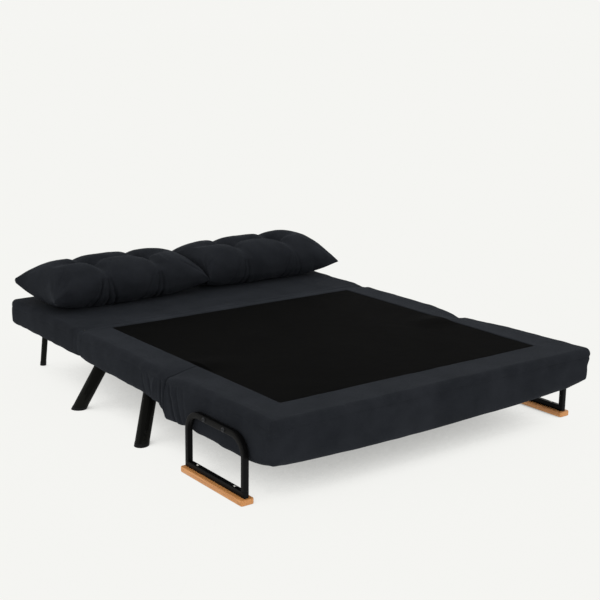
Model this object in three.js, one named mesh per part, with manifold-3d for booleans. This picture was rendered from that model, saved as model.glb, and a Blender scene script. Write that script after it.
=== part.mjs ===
// Folding futon sofa bed, shown laid flat as a bed.
//
// Three upholstered sections lie in a row from head (+Y) to foot (-Y): the backrest, the base and
// the front section. The base stands on four splayed tube legs. The backrest turns up on two
// ratchet hinges, and its rear end stands on a folding support frame. The front section turns over
// on two clevis hinges and lands on top of the base, so that the two together make the seat. The
// steel loops bolted to its sides are its feet in the bed, and the armrests of the sofa: the wooden
// skid of each one is then the armrest's top.
//
// Millimetres, +Z up, origin on the floor under the middle of the bed, +X to the right as seen from
// the foot end. Whatever comes in pairs is made for the right side, and a mirrored group holds the
// left one.

import * as THREE from "three";
import { mergeVertices } from "three/addons/utils/BufferGeometryUtils.js";
import Module from "manifold-3d";

const wasm = await Module();
wasm.setup();

// ---------------------------------------------------------------- driving dimensions

const HALF_WIDTH = 720; // the mattress
const HALF_LENGTH = 950;
const TOP_Z = 299; // the lying surface
const BASE_UNDER_Z = 193; // underside of the base and backrest
const FRONT_UNDER_Z = 142; // underside of the thicker front section
const WALL = 6; // cover fabric with its wadding
const GAP = 0.3; // between pieces that touch

const FOLD = { y: -315, z: 300 }; // axis of the front section's hinges
const RECLINE = { y: 350, z: 279 }; // axis of the backrest's ratchet hinges
const JOINT_GAP = 2; // from each hinge axis to the end of a section
const CORNER = { radius: 30, roll: 18 }; // of a cover, in plan and along its edges

const TUBE = 25; // square frame tube
const TUBE_WALL = 2;
const FRAME_Z = 203; // underside of every frame
const FRAME_TOP = FRAME_Z + TUBE;
const OVER_WEBBING = FRAME_TOP + 3.3; // where the foam starts
const FRAME_HALF_WIDTH = 690;
const FRONT_FRAME_HALF_WIDTH = 698;

const PANEL_HALF_WIDTH = 590; // black lining let into the lying surface
const PANEL_HEAD_Y = 316;
const PANEL_FOOT_Y = -800;

const LEG = { x: 666, rearY: 237, frontY: -122, outward: 83, lengthwise: 65, radius: 26, top: 198 };
const ARM = { x: 741, y: -660, length: 350, top: 225.5, tube: 20, bend: 75, boltSpacing: 115 };
const SKID = { length: 366, width: 50, thickness: 20 };
const SUPPORT = { x: 610, y: 880, z: 178, footY: 920, radius: 12.5 };
const PILLOW = { x: 365.5, y: 763, halfWidth: 362, halfDepth: 186, thickness: 178 };

// ---------------------------------------------------------------- materials

const paint = (color, roughness, metalness = 0) =>
  new THREE.MeshStandardMaterial({ color, roughness, metalness });

const materials = {
  cover: paint(0x24262b, 0.92),
  lining: paint(0x101011, 0.95),
  pillow: paint(0x24262b, 0.92),
  foam: paint(0xe6dcb8, 0.95),
  webbing: paint(0x1b1b1c, 0.9),
  frame: paint(0x161617, 0.5, 0.4),
  leg: paint(0x141414, 0.55, 0.3),
  hinge: paint(0x8f9296, 0.35, 0.9),
  wood: paint(0xb9743c, 0.5),
  cap: paint(0x0f0f10, 0.6),
  bolt: paint(0x1a1a1b, 0.4, 0.6),
  screw: paint(0xc8ccd0, 0.3, 1),
};

// ---------------------------------------------------------------- shapes and solids

// A box between two corners.
function box([x0, y0, z0], [x1, y1, z1]) {
  return new THREE.BoxGeometry(x1 - x0, y1 - y0, z1 - z0).translate(
    (x0 + x1) / 2,
    (y0 + y1) / 2,
    (z0 + z1) / 2,
  );
}

// A shape drawn in (y, z) and extruded along X from x0 to x1.
function alongX(shape, x0, x1) {
  const toRow = new THREE.Matrix4().makeBasis(
    new THREE.Vector3(0, 1, 0),
    new THREE.Vector3(0, 0, 1),
    new THREE.Vector3(1, 0, 0),
  );
  return new THREE.ExtrudeGeometry(shape, { depth: x1 - x0, bevelEnabled: false, curveSegments: 8 })
    .applyMatrix4(toRow)
    .translate(x0, 0, 0);
}

// A cylinder along X, from x0 to x1, around the point (y, z).
function rodX(radius, x0, x1, y, z, segments = 16) {
  return new THREE.CylinderGeometry(radius, radius, x1 - x0, segments)
    .rotateZ(-Math.PI / 2)
    .translate((x0 + x1) / 2, y, z);
}

// A straight bar of round section between two points.
function rodBetween(radius, from, to, segments = 16) {
  const start = new THREE.Vector3(...from);
  const along = new THREE.Vector3(...to).sub(start);
  const turn = new THREE.Quaternion().setFromUnitVectors(
    new THREE.Vector3(0, 1, 0),
    along.clone().normalize(),
  );
  return new THREE.CylinderGeometry(radius, radius, along.length(), segments)
    .applyQuaternion(turn)
    .translate(...start.addScaledVector(along, 0.5).toArray());
}

// A rectangle with round corners, centred on (x, y).
function roundedRectangle(width, height, radius, x = 0, y = 0) {
  const [w, h, quarter] = [width / 2, height / 2, Math.PI / 2];
  return new THREE.Shape()
    .absarc(x + w - radius, y + h - radius, radius, 0, quarter)
    .absarc(x - w + radius, y + h - radius, radius, quarter, 2 * quarter)
    .absarc(x - w + radius, y - h + radius, radius, 2 * quarter, 3 * quarter)
    .absarc(x + w - radius, y - h + radius, radius, 3 * quarter, 4 * quarter)
    .closePath();
}

// The convex outline around some circles, each [y, z, radius], as for a plate cut round its holes.
function outlineAround(circles, steps = 12) {
  const points = circles.flatMap(([y, z, r]) =>
    Array.from({ length: steps }, (_, i) => {
      const a = (2 * Math.PI * i) / steps;
      return new THREE.Vector2(y + r * Math.cos(a), z + r * Math.sin(a));
    }),
  );
  points.sort((a, b) => a.x - b.x || a.y - b.y);
  const turnsLeft = (o, a, b) => (a.x - o.x) * (b.y - o.y) - (a.y - o.y) * (b.x - o.x) > 1e-6;
  const half = (list) => {
    const hull = [];
    for (const p of list) {
      while (hull.length > 1 && !turnsLeft(hull.at(-2), hull.at(-1), p)) hull.pop();
      hull.push(p);
    }
    return hull.slice(0, -1);
  };
  return new THREE.Shape([...half(points), ...half([...points].reverse())]);
}

// A box with round corners in plan and rolled top and bottom edges.
function cushion([x0, y0, z0], [x1, y1, z1], corner, roll) {
  const shape = roundedRectangle(x1 - x0 - 2 * roll, y1 - y0 - 2 * roll, Math.max(1, corner - roll));
  return new THREE.ExtrudeGeometry(shape, {
    depth: z1 - z0 - 2 * roll,
    bevelThickness: roll,
    bevelSize: roll,
    bevelSegments: 2,
    curveSegments: 3,
  }).translate((x0 + x1) / 2, (y0 + y1) / 2, z0 + roll);
}

// A solid for joining and cutting, from a closed geometry.
function solid(geometry) {
  const bare = geometry.index ? geometry.toNonIndexed() : geometry.clone();
  bare.deleteAttribute("normal");
  bare.deleteAttribute("uv");
  const merged = mergeVertices(bare, 1e-3);
  return new wasm.Manifold(
    new wasm.Mesh({
      numProp: 3,
      vertProperties: merged.attributes.position.array,
      triVerts: new Uint32Array(merged.index.array),
    }),
  );
}

const join = (first, ...rest) => rest.reduce((all, g) => all.add(solid(g)), solid(first));
const cut = (body, ...tools) => tools.reduce((left, g) => left.subtract(solid(g)), body);

// A named mesh from a geometry or from a solid.
function piece(name, shape, material) {
  let geometry = shape;
  if (!shape.isBufferGeometry) {
    const { vertProperties, triVerts } = shape.getMesh();
    geometry = new THREE.BufferGeometry()
      .setAttribute("position", new THREE.BufferAttribute(vertProperties, 3))
      .setIndex(new THREE.BufferAttribute(triVerts, 1));
    geometry.computeVertexNormals();
  }
  const mesh = new THREE.Mesh(geometry, material);
  mesh.name = name;
  return mesh;
}

// Adds what build(side name) returns to both sides, the left one mirrored.
function addBothSides(parent, build) {
  for (const [side, sign] of [["left", -1], ["right", 1]]) {
    const half = new THREE.Group();
    half.scale.x = sign;
    half.add(...build(side));
    parent.add(half);
  }
}

// The same box on both sides of the middle plane.
const boxPair = ([x0, y0, z0], [x1, y1, z1]) => [
  box([x0, y0, z0], [x1, y1, z1]),
  box([-x1, y0, z0], [-x0, y1, z1]),
];

// ---------------------------------------------------------------- frames and suspension

// A welded frame of square tube: two side tubes and the cross tubes at crossYs, hollow all through,
// with a drain hole under the right side tube.
function tubeFrame(halfWidth, y0, y1, crossYs) {
  const tubes = (inset) => {
    const side = boxPair(
      [halfWidth - TUBE + inset, y0 + inset, FRAME_Z + inset],
      [halfWidth - inset, y1 - inset, FRAME_TOP - inset],
    );
    const across = crossYs.map((y) =>
      box(
        [-halfWidth + inset, y + inset, FRAME_Z + inset],
        [halfWidth - inset, y + TUBE - inset, FRAME_TOP - inset],
      ),
    );
    return join(...side, ...across);
  };
  const drain = rodBetween(
    3,
    [halfWidth - TUBE / 2, y0 + 60, FRAME_Z - 2],
    [halfWidth - TUBE / 2, y0 + 60, FRAME_Z + TUBE / 2],
    10,
  );
  return tubes(0).subtract(tubes(TUBE_WALL)).subtract(solid(drain));
}

// Woven elastic straps stretched over a frame, ending short of the hinge plates at its ends.
function webbing(halfWidth, frame0, frame1) {
  const [strap, low, high] = [60, FRAME_TOP + GAP, FRAME_TOP + 2.8];
  const [across, along] = [3, 5];
  const [y0, y1] = [frame0 + 5, frame1 - 5];
  const spread = (from, to, count, i) => from + ((to - from - strap) * (i + 0.5)) / count + strap / 2;
  const straps = [];
  for (let i = 0; i < across; i++) {
    const y = spread(y0, y1, across, i);
    straps.push(box([-halfWidth, y - strap / 2, low], [halfWidth, y + strap / 2, high]));
  }
  for (let i = 0; i < along; i++) {
    const x = spread(-halfWidth, halfWidth, along, i);
    straps.push(box([x - strap / 2, y0, low], [x + strap / 2, y1, high]));
  }
  return join(...straps);
}

// ---------------------------------------------------------------- front hinges (fold axis)

const FOLD_EYE = 5;
const FOLD_PIN = 2;
const FOLD_X = { tongue: 565, ear: 11, plate: 5 }; // middle of the hinge, offset of the two ears
const FOLD_SLOT = { halfWidth: 21, depth: 52 }; // room left for a hinge in covers and foam

// A hinge plate from the fold axis down to a tube whose face is dy away from the axis.
function foldPlate(x, dy) {
  const foot = FOLD.y + dy;
  const shape = outlineAround([
    [FOLD.y, FOLD.z, FOLD_EYE],
    [foot, FRAME_TOP - 6, 6],
    [foot, FRAME_Z + 6, 6],
  ]);
  return alongX(shape, x - FOLD_X.plate / 2, x + FOLD_X.plate / 2);
}

const foldBore = (sign) =>
  rodX(FOLD_PIN + GAP, -25, 25, 0, 0, 16).translate(sign * FOLD_X.tongue, FOLD.y, FOLD.z);

// What covers, foam and lining leave open around both fold hinges, from the junction inwards.
function foldSlots(direction) {
  const y0 = FOLD.y - 1;
  const y1 = FOLD.y + direction * FOLD_SLOT.depth;
  return boxPair(
    [FOLD_X.tongue - FOLD_SLOT.halfWidth, Math.min(y0, y1), FRAME_Z - 8],
    [FOLD_X.tongue + FOLD_SLOT.halfWidth, Math.max(y0 + 2, y1), TOP_Z + 5],
  );
}

function foldPin(side) {
  const [inner, outer, head] = [FOLD_X.tongue - 15, FOLD_X.tongue + 15, 4];
  const pin = join(
    rodX(FOLD_PIN, inner, outer + head, FOLD.y, FOLD.z, 16),
    rodX(FOLD_PIN + 2.5, outer, outer + head, FOLD.y, FOLD.z, 16),
    rodX(FOLD_PIN + 2.5, inner - head, inner, FOLD.y, FOLD.z, 6),
  );
  return piece(`fold_hinge_pin_${side}`, pin, materials.hinge);
}

// ---------------------------------------------------------------- ratchet hinges (recline axis)

const RATCHET = { step: 18.75, steps: 4, radius: 17, bore: 4 }; // degrees between the stops
const PLATE_X = { inner: FRAME_HALF_WIDTH + GAP, thickness: 5, arm: FRAME_HALF_WIDTH + 6 };
const PAWL = { pivot: [22, -26], nose: [25.5, -1], tip: 17.6, engage: 8.5, stud: 3 };
const rad = THREE.MathUtils.degToRad;

// A geometry drawn around the recline axis, moved to it.
const atRecline = (geometry) => geometry.translate(0, RECLINE.y, RECLINE.z);

const pawlNose = (margin) =>
  new THREE.Shape([
    new THREE.Vector2(PAWL.nose[0] + 1, 2 + margin),
    new THREE.Vector2(PAWL.tip - margin, 1.3 + margin),
    new THREE.Vector2(PAWL.tip - margin, -1.3 - margin),
    new THREE.Vector2(PAWL.nose[0] + 1, -3 - margin),
  ]);

// Turns a geometry about an X axis through (y, z).
const turnX = (geometry, degrees, [y, z]) =>
  geometry.translate(0, -y, -z).rotateX(rad(degrees)).translate(0, y, z);

// The plate on the base: a toothed disc on the recline axis, whose gaps are cut by the pawl's nose
// on its way in at each stop of the backrest.
function ratchetPlate(side) {
  const [x0, x1] = [PLATE_X.inner, PLATE_X.inner + PLATE_X.thickness];
  let plate = join(
    rodX(RATCHET.radius, x0, x1, 0, 0, 48),
    alongX(outlineAround([[0, 0, 12], [-46, -63, 11], [-30, -63, 11]]), x0, x1),
    alongX(outlineAround([[-46, -63, 11], [-120, -63, 11]]), x0, x1),
  );
  for (let stop = 0; stop <= RATCHET.steps; stop++) {
    for (const share of [0.25, 0.5, 0.75, 1]) {
      const nose = alongX(pawlNose(0.45), x0 - 1, x1 + 1);
      turnX(nose, share * PAWL.engage, PAWL.pivot);
      plate = plate.subtract(solid(turnX(nose, stop * RATCHET.step, [0, 0])));
    }
  }
  plate = plate.subtract(solid(rodX(RATCHET.bore + GAP, x0 - 1, x1 + 1, 0, 0)));
  return piece(`ratchet_plate_${side}`, plate.translate([0, RECLINE.y, RECLINE.z]), materials.hinge);
}

// The arm on the backrest: it turns on the same bolt, carries the pawl on a stud, and is fixed to
// the outside of the backrest frame through a pad.
function ratchetArm(side) {
  const [x0, x1] = [PLATE_X.arm, PLATE_X.arm + PLATE_X.thickness];
  const [py, pz] = PAWL.pivot;
  const arm = join(
    alongX(outlineAround([[0, 0, 12], [py, pz, 7], [36, -62, 9]]), x0, x1),
    alongX(outlineAround([[36, -62, 9], [130, -63, 10]]), x0, x1),
    alongX(outlineAround([[60, -63, 9], [130, -63, 9]]), PLATE_X.inner, x0 + 1),
    rodX(PAWL.stud, PLATE_X.inner, x0 + 1, py, pz, 16),
  ).subtract(solid(rodX(RATCHET.bore + GAP, x0 - 1, x1 + 1, 0, 0)));
  return piece(`ratchet_arm_${side}`, arm.translate([0, RECLINE.y, RECLINE.z]), materials.hinge);
}

function pawl(side) {
  const [x0, x1] = [PLATE_X.inner + 0.2, PLATE_X.inner + PLATE_X.thickness];
  const [py, pz] = PAWL.pivot;
  const lever = join(
    alongX(outlineAround([[py, pz, 5.5], [...PAWL.nose, 3.5]]), x0, x1),
    alongX(pawlNose(0), x0, x1),
  ).subtract(solid(rodX(PAWL.stud + GAP, x0 - 1, x1 + 1, py, pz, 16)));
  return piece(`ratchet_pawl_${side}`, lever.translate([0, RECLINE.y, RECLINE.z]), materials.hinge);
}

// A leaf spring riveted to the arm behind the pawl.
function pawlSpring(side) {
  const [x0, x1] = [PLATE_X.inner + 1, PLATE_X.arm - GAP];
  const leaf = outlineAround([[31.2, -2, 0.5], [33.5, -30, 0.5]], 8);
  const foot = outlineAround([[33.5, -30, 0.5], [42, -38, 2.5]], 8);
  const spring = join(alongX(leaf, x0, x1), alongX(foot, x0, x1));
  return piece(`pawl_spring_${side}`, spring.translate([0, RECLINE.y, RECLINE.z]), materials.screw);
}

function ratchetBolt(side) {
  const inside = FRAME_HALF_WIDTH - 6;
  const outside = PLATE_X.arm + PLATE_X.thickness + GAP;
  const bolt = join(
    rodX(RATCHET.bore, inside, outside + 4.5, 0, 0),
    rodX(7.5, outside, outside + 4.5, 0, 0),
    rodX(7, inside, inside + 6, 0, 0, 6),
  );
  return piece(`ratchet_bolt_${side}`, bolt.translate([0, RECLINE.y, RECLINE.z]), materials.bolt);
}

// Room for the ratchet hinges inside the covers and the foam, around circles about the axis.
const hingeRooms = (circles) =>
  [FRAME_HALF_WIDTH - 8, -HALF_WIDTH + WALL].map((x) =>
    atRecline(alongX(outlineAround(circles), x, x + HALF_WIDTH - WALL - FRAME_HALF_WIDTH + 8)),
  );

// ---------------------------------------------------------------- upholstery

// The wedge taken off a section's top edge at the recline axis, so that the backrest can turn up.
// direction is -1 for the base's edge and 1 for the backrest's, and inset makes it larger.
function reclineWedge(direction, inset) {
  const [reach, past] = [24 + 1.45 * inset, 3];
  const [y, z] = [RECLINE.y - direction * past, TOP_Z + past];
  const corner = [
    new THREE.Vector2(y, TOP_Z - reach),
    new THREE.Vector2(y + direction * (reach + 2 * past), z),
    new THREE.Vector2(y, z),
  ];
  return alongX(new THREE.Shape(direction > 0 ? corner.reverse() : corner), -800, 800);
}

// A cover: a thin upholstery shell, open at the lining panel or underneath.
function cover(name, y0, y1, underZ, { wedge, openings }) {
  const shell = (inset) =>
    cushion(
      [-HALF_WIDTH + inset, y0 + inset, underZ + inset],
      [HALF_WIDTH - inset, y1 - inset, TOP_Z - inset],
      CORNER.radius - inset,
      CORNER.roll - inset,
    );
  const [outside, inside] = [shell(0), shell(WALL)];
  let [outer, hollow] = [solid(outside), solid(inside)];
  if (wedge) {
    outer = cut(outer, reclineWedge(wedge, 0));
    hollow = cut(hollow, reclineWedge(wedge, WALL));
  }
  return piece(name, cut(outer.subtract(hollow), ...openings), materials.cover);
}

// A block of foam that fills a cover from y0 to y1, between two heights.
function foamBlock(name, [y0, y1], [z0, z1], { wedge, halfWidth, underZ, cuts = [] }) {
  const inset = WALL + 1;
  const filling = cushion(
    [-halfWidth, y0 + inset, underZ + inset],
    [halfWidth, y1 - inset, TOP_Z - inset],
    CORNER.radius - inset,
    CORNER.roll - inset,
  );
  let foam = solid(filling).intersect(solid(box([-800, y0, z0], [800, y1, z1])));
  if (wedge) foam = cut(foam, reclineWedge(wedge, WALL + 2));
  return piece(name, cut(foam, ...cuts), materials.foam);
}

// The black lining let into the lying surface of a section, between two edges.
function liningPanel(name, y0, y1, direction) {
  const inset = GAP + 0.7;
  const sheet = box(
    [-PANEL_HALF_WIDTH + inset, y0, TOP_Z - WALL + GAP],
    [PANEL_HALF_WIDTH - inset, y1, TOP_Z - GAP],
  );
  return piece(name, cut(solid(sheet), ...foldSlots(direction)), materials.lining);
}

// ---------------------------------------------------------------- legs and feet

// A splayed leg in its own frame: its top is over the origin, and it leans outwards and lengthwise
// as it goes down.
const legAxis = (radius, segments) => {
  const past = 0.3; // how much further than its length the bar runs at both ends
  const at = (share) => [
    LEG.outward * (1 - share),
    LEG.lengthwise * (1 - share),
    LEG.top * share,
  ];
  return rodBetween(radius, at(-past), at(1 + past), segments);
};

const slab = (z0, z1) => solid(box([-300, -300, z0], [300, 300, z1]));
const LEG_CAP = 12;
const LEG_BOLTS = [-38, 38];
const LEG_PLATE = { thickness: 4.7, inner: -27, outer: 30, halfLength: 50 };

function leg(name) {
  const tube = solid(legAxis(LEG.radius, 20))
    .intersect(slab(LEG_CAP, LEG.top + 1))
    .subtract(solid(legAxis(LEG.radius - 2, 20)).intersect(slab(0, LEG.top)));
  const plate = box(
    [LEG_PLATE.inner, -LEG_PLATE.halfLength, LEG.top],
    [LEG_PLATE.outer, LEG_PLATE.halfLength, LEG.top + LEG_PLATE.thickness],
  );
  const bores = LEG_BOLTS.map((y) => legBoltShape(4 + GAP).translate(legBoltX, y, 0));
  return piece(name, cut(tube.add(solid(plate)), ...bores), materials.leg);
}

function legCap(name) {
  const foot = solid(legAxis(LEG.radius + 0.7, 20)).intersect(slab(0, LEG_CAP - GAP));
  const plug = solid(legAxis(LEG.radius - 3, 20)).intersect(slab(LEG_CAP / 2, 30));
  return piece(name, foot.add(plug), materials.cap);
}

const legBoltX = FRAME_HALF_WIDTH - TUBE / 2 - LEG.x;
const legBoltShape = (radius) =>
  rodBetween(radius, [0, 0, LEG.top - 1], [0, 0, FRAME_TOP - 8], 8);

function legBolt(name, y) {
  const head = rodBetween(6.5, [0, 0, LEG.top - 5], [0, 0, LEG.top - GAP], 6);
  const bolt = piece(name, join(legBoltShape(4), head), materials.bolt);
  bolt.position.set(legBoltX, y, 0);
  return bolt;
}

// The holes that the leg bolts and arm bolts need in a frame.
const legBoltHoles = [LEG.rearY, LEG.frontY].flatMap((y) =>
  LEG_BOLTS.flatMap((dy) =>
    [-1, 1].map((sign) =>
      legBoltShape(4 + GAP).translate(sign * (LEG.x + legBoltX), y + dy, 0),
    ),
  ),
);

// ---------------------------------------------------------------- arm loops with their skids

const ARM_BOLT = { z: ARM.top - ARM.tube / 2, radius: 4, reach: FRONT_FRAME_HALF_WIDTH - 14 };
const armBoltYs = [-1, 1].map((side) => ARM.y + (side * ARM.boltSpacing) / 2);
const SKID_SCREW = { offset: 110, radius: 2.2, depth: 12 };
const skidScrewYs = [-1, 1].map((side) => ARM.y + side * SKID_SCREW.offset);

// The loop's outline in (y, z): bent corners at the top, square ones at the bottom.
function loopOutline(inset) {
  const [y0, y1] = [ARM.y - ARM.length / 2 + inset, ARM.y + ARM.length / 2 - inset];
  const [z0, z1] = [SKID.thickness + GAP + inset, ARM.top - inset];
  const bend = ARM.bend - inset;
  return new THREE.Path()
    .moveTo(y0, z0)
    .lineTo(y1, z0)
    .absarc(y1 - bend, z1 - bend, bend, 0, Math.PI / 2)
    .absarc(y0 + bend, z1 - bend, bend, Math.PI / 2, Math.PI)
    .closePath();
}

function loopBand(outer, inner, x0, x1) {
  const shape = new THREE.Shape(loopOutline(outer).getPoints(5));
  shape.holes.push(new THREE.Path(loopOutline(inner).getPoints(5)));
  return alongX(shape, x0, x1);
}

function armLoop(side) {
  const [x0, x1] = [ARM.x - ARM.tube / 2, ARM.x + ARM.tube / 2];
  const wall = 1.5;
  const standoffs = armBoltYs.map((y) => rodX(9, HALF_WIDTH + 0.5, x0 + 1, y, ARM_BOLT.z, 12));
  const bores = armBoltYs.map((y) => rodX(ARM_BOLT.radius + GAP, 700, 760, y, ARM_BOLT.z, 10));
  const screwBores = skidScrewYs.map((y) =>
    rodBetween(SKID_SCREW.radius + GAP, [ARM.x, y, 10], [ARM.x, y, 60], 10),
  );
  const loop = solid(loopBand(0, ARM.tube, x0, x1)).subtract(
    solid(loopBand(wall, ARM.tube - wall, x0 + wall, x1 - wall)),
  );
  const whole = standoffs.reduce((all, g) => all.add(solid(g)), loop);
  return piece(`arm_loop_${side}`, cut(whole, ...bores, ...screwBores), materials.frame);
}

function skid(side) {
  const roll = 3;
  const shape = roundedRectangle(SKID.width - 2 * roll, SKID.length - 2 * roll, 9);
  const block = new THREE.ExtrudeGeometry(shape, {
    depth: SKID.thickness - 2 * roll,
    bevelThickness: roll,
    bevelSize: roll,
    bevelSegments: 2,
    curveSegments: 3,
  }).translate(ARM.x, ARM.y, roll);
  const bores = skidScrewYs.map((y) =>
    rodBetween(
      SKID_SCREW.radius + GAP,
      [ARM.x, y, SKID.thickness - SKID_SCREW.depth - GAP],
      [ARM.x, y, SKID.thickness + 2],
      10,
    ),
  );
  return piece(`wood_skid_${side}`, cut(solid(block), ...bores), materials.wood);
}

// A domed head on a shank, pointing along its own -Y, as a turned profile.
function turnedBolt(headRadius, headHeight, radius, length) {
  const profile = [
    new THREE.Vector2(0, -length),
    new THREE.Vector2(radius, -length),
    new THREE.Vector2(radius, GAP),
    new THREE.Vector2(headRadius, GAP),
    new THREE.Vector2(headRadius, headHeight * 0.45),
    new THREE.Vector2(headRadius * 0.62, headHeight),
    new THREE.Vector2(0, headHeight),
  ];
  return new THREE.LatheGeometry(profile, 10);
}

function armBolt(name, y) {
  const outside = ARM.x + ARM.tube / 2;
  const shape = turnedBolt(8, 4.5, ARM_BOLT.radius, outside - ARM_BOLT.reach);
  const bolt = piece(name, shape, materials.bolt);
  bolt.rotation.z = -Math.PI / 2;
  bolt.position.set(outside, y, ARM_BOLT.z);
  return bolt;
}

function skidScrew(name, y) {
  const barTop = SKID.thickness + GAP + ARM.tube;
  const length = barTop - SKID.thickness + SKID_SCREW.depth - 1;
  const screw = piece(name, turnedBolt(4.8, 2.8, SKID_SCREW.radius, length), materials.screw);
  screw.rotation.x = Math.PI / 2;
  screw.position.set(ARM.x, y, barTop);
  return screw;
}

// ---------------------------------------------------------------- rear support frame

const SUPPORT_CAP = 16;
const SUPPORT_EAR_X = 560;
const supportFoot = (z) => SUPPORT.y + ((SUPPORT.footY - SUPPORT.y) * (SUPPORT.z - z)) / SUPPORT.z;
const supportLeg = (radius, sign) =>
  rodBetween(
    radius,
    [sign * SUPPORT.x, supportFoot(SUPPORT.z), SUPPORT.z],
    [sign * SUPPORT.x, supportFoot(-40), -40],
    20,
  );

// A cross bar that turns in two ears under the backrest frame, with a leg at each end.
function supportFrame() {
  const above = solid(box([-800, 700, SUPPORT_CAP], [800, 1000, 300]));
  const bar = rodX(11, -SUPPORT.x, SUPPORT.x, SUPPORT.y, SUPPORT.z, 20);
  const legs = [-1, 1].map((sign) => solid(supportLeg(SUPPORT.radius, sign)).intersect(above));
  return piece("support_frame", solid(bar).add(legs[0]).add(legs[1]), materials.leg);
}

function supportCap(side) {
  const below = solid(box([0, 700, 0], [800, 1000, SUPPORT_CAP - GAP]));
  const cap = solid(supportLeg(SUPPORT.radius + 0.8, 1)).intersect(below);
  return piece(`support_cap_${side}`, cap, materials.cap);
}

// The ears on the backrest frame that the cross bar turns in.
const supportEars = [-1, 1].map((sign) =>
  alongX(
    outlineAround([
      [SUPPORT.y, SUPPORT.z, 16],
      [SUPPORT.y - 8, FRAME_Z + 4, 6],
      [SUPPORT.y + 8, FRAME_Z + 4, 6],
    ]),
    sign * SUPPORT_EAR_X - 3,
    sign * SUPPORT_EAR_X + 3,
  ),
);
const supportBore = rodX(11 + 0.4, -SUPPORT_EAR_X - 5, SUPPORT_EAR_X + 5, SUPPORT.y, SUPPORT.z, 24);

// ---------------------------------------------------------------- pillows

// A plump pillow: a sphere squared off in plan, with its edge at half height.
function pillow(side) {
  const geometry = new THREE.SphereGeometry(1, 24, 12).rotateX(Math.PI / 2);
  const at = geometry.attributes.position;
  const squared = (v, power) => Math.sign(v) * Math.abs(v) ** power;
  for (let i = 0; i < at.count; i++) {
    const [x, y, z] = [at.getX(i), at.getY(i), at.getZ(i)];
    const plan = Math.hypot(x, y) || 1;
    const [cx, cy] = [squared(x / plan, 0.5), squared(y / plan, 0.5)];
    const reach = plan ** 0.62;
    at.setXYZ(
      i,
      PILLOW.halfWidth * cx * reach,
      PILLOW.halfDepth * cy * reach,
      (PILLOW.thickness / 2) * squared(z, 0.8),
    );
  }
  const mesh = piece(`pillow_${side}`, geometry, materials.pillow);
  mesh.position.set(PILLOW.x, PILLOW.y, TOP_Z + 0.5 + PILLOW.thickness / 2);
  return mesh;
}

// ---------------------------------------------------------------- the three sections

function baseSection() {
  const group = new THREE.Group();
  const [y0, y1] = [FOLD.y + JOINT_GAP, RECLINE.y - JOINT_GAP];
  const [frame0, frame1] = [FOLD.y + 15, RECLINE.y - 20];
  const crossYs = [frame0, LEG.frontY - TUBE / 2, LEG.rearY - TUBE / 2, frame1 - TUBE];
  const ears = [-1, 1].flatMap((sign) =>
    [-1, 1].map((ear) => foldPlate(sign * FOLD_X.tongue + ear * FOLD_X.ear, 9)),
  );
  const frame = ears.reduce(
    (all, g) => all.add(solid(g)),
    tubeFrame(FRAME_HALF_WIDTH, frame0, frame1, crossYs),
  );
  group.add(
    piece("base_frame", cut(frame, foldBore(1), foldBore(-1), ...legBoltHoles), materials.frame),
    piece("base_webbing", webbing(FRAME_HALF_WIDTH, frame0, frame1), materials.webbing),
    foamBlock("base_foam", [y0, y1], [OVER_WEBBING, TOP_Z], {
      wedge: -1,
      halfWidth: FRAME_HALF_WIDTH - 6,
      underZ: BASE_UNDER_Z,
      cuts: [...foldSlots(1), ...hingeRooms([[0, 0, 21]])],
    }),
    cover("base_cover", y0, y1, BASE_UNDER_Z, {
      wedge: -1,
      openings: [
        box([-PANEL_HALF_WIDTH, y0 - 5, TOP_Z - WALL], [PANEL_HALF_WIDTH, PANEL_HEAD_Y, TOP_Z + 5]),
        box([-703, y0 + 14, BASE_UNDER_Z - 5], [703, y1 - 12, BASE_UNDER_Z + WALL + 1]),
        ...foldSlots(1),
        ...hingeRooms([[0, 0, 21], [-46, -63, 14], [-30, -63, 14]]),
      ],
    }),
    liningPanel("base_lining", y0, PANEL_HEAD_Y - 1, 1),
  );
  for (const [end, y, lengthwise] of [["rear", LEG.rearY, 1], ["front", LEG.frontY, -1]]) {
    addBothSides(group, (side) => {
      const corner = new THREE.Group();
      corner.position.set(LEG.x, y, 0);
      corner.scale.y = lengthwise;
      corner.add(
        leg(`leg_${end}_${side}`),
        legCap(`leg_cap_${end}_${side}`),
        legBolt(`leg_bolt_a_${end}_${side}`, LEG_BOLTS[0]),
        legBolt(`leg_bolt_b_${end}_${side}`, LEG_BOLTS[1]),
      );
      return [corner];
    });
  }
  addBothSides(group, (side) => [foldPin(side), ratchetPlate(side), ratchetBolt(side)]);
  return group;
}

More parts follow.
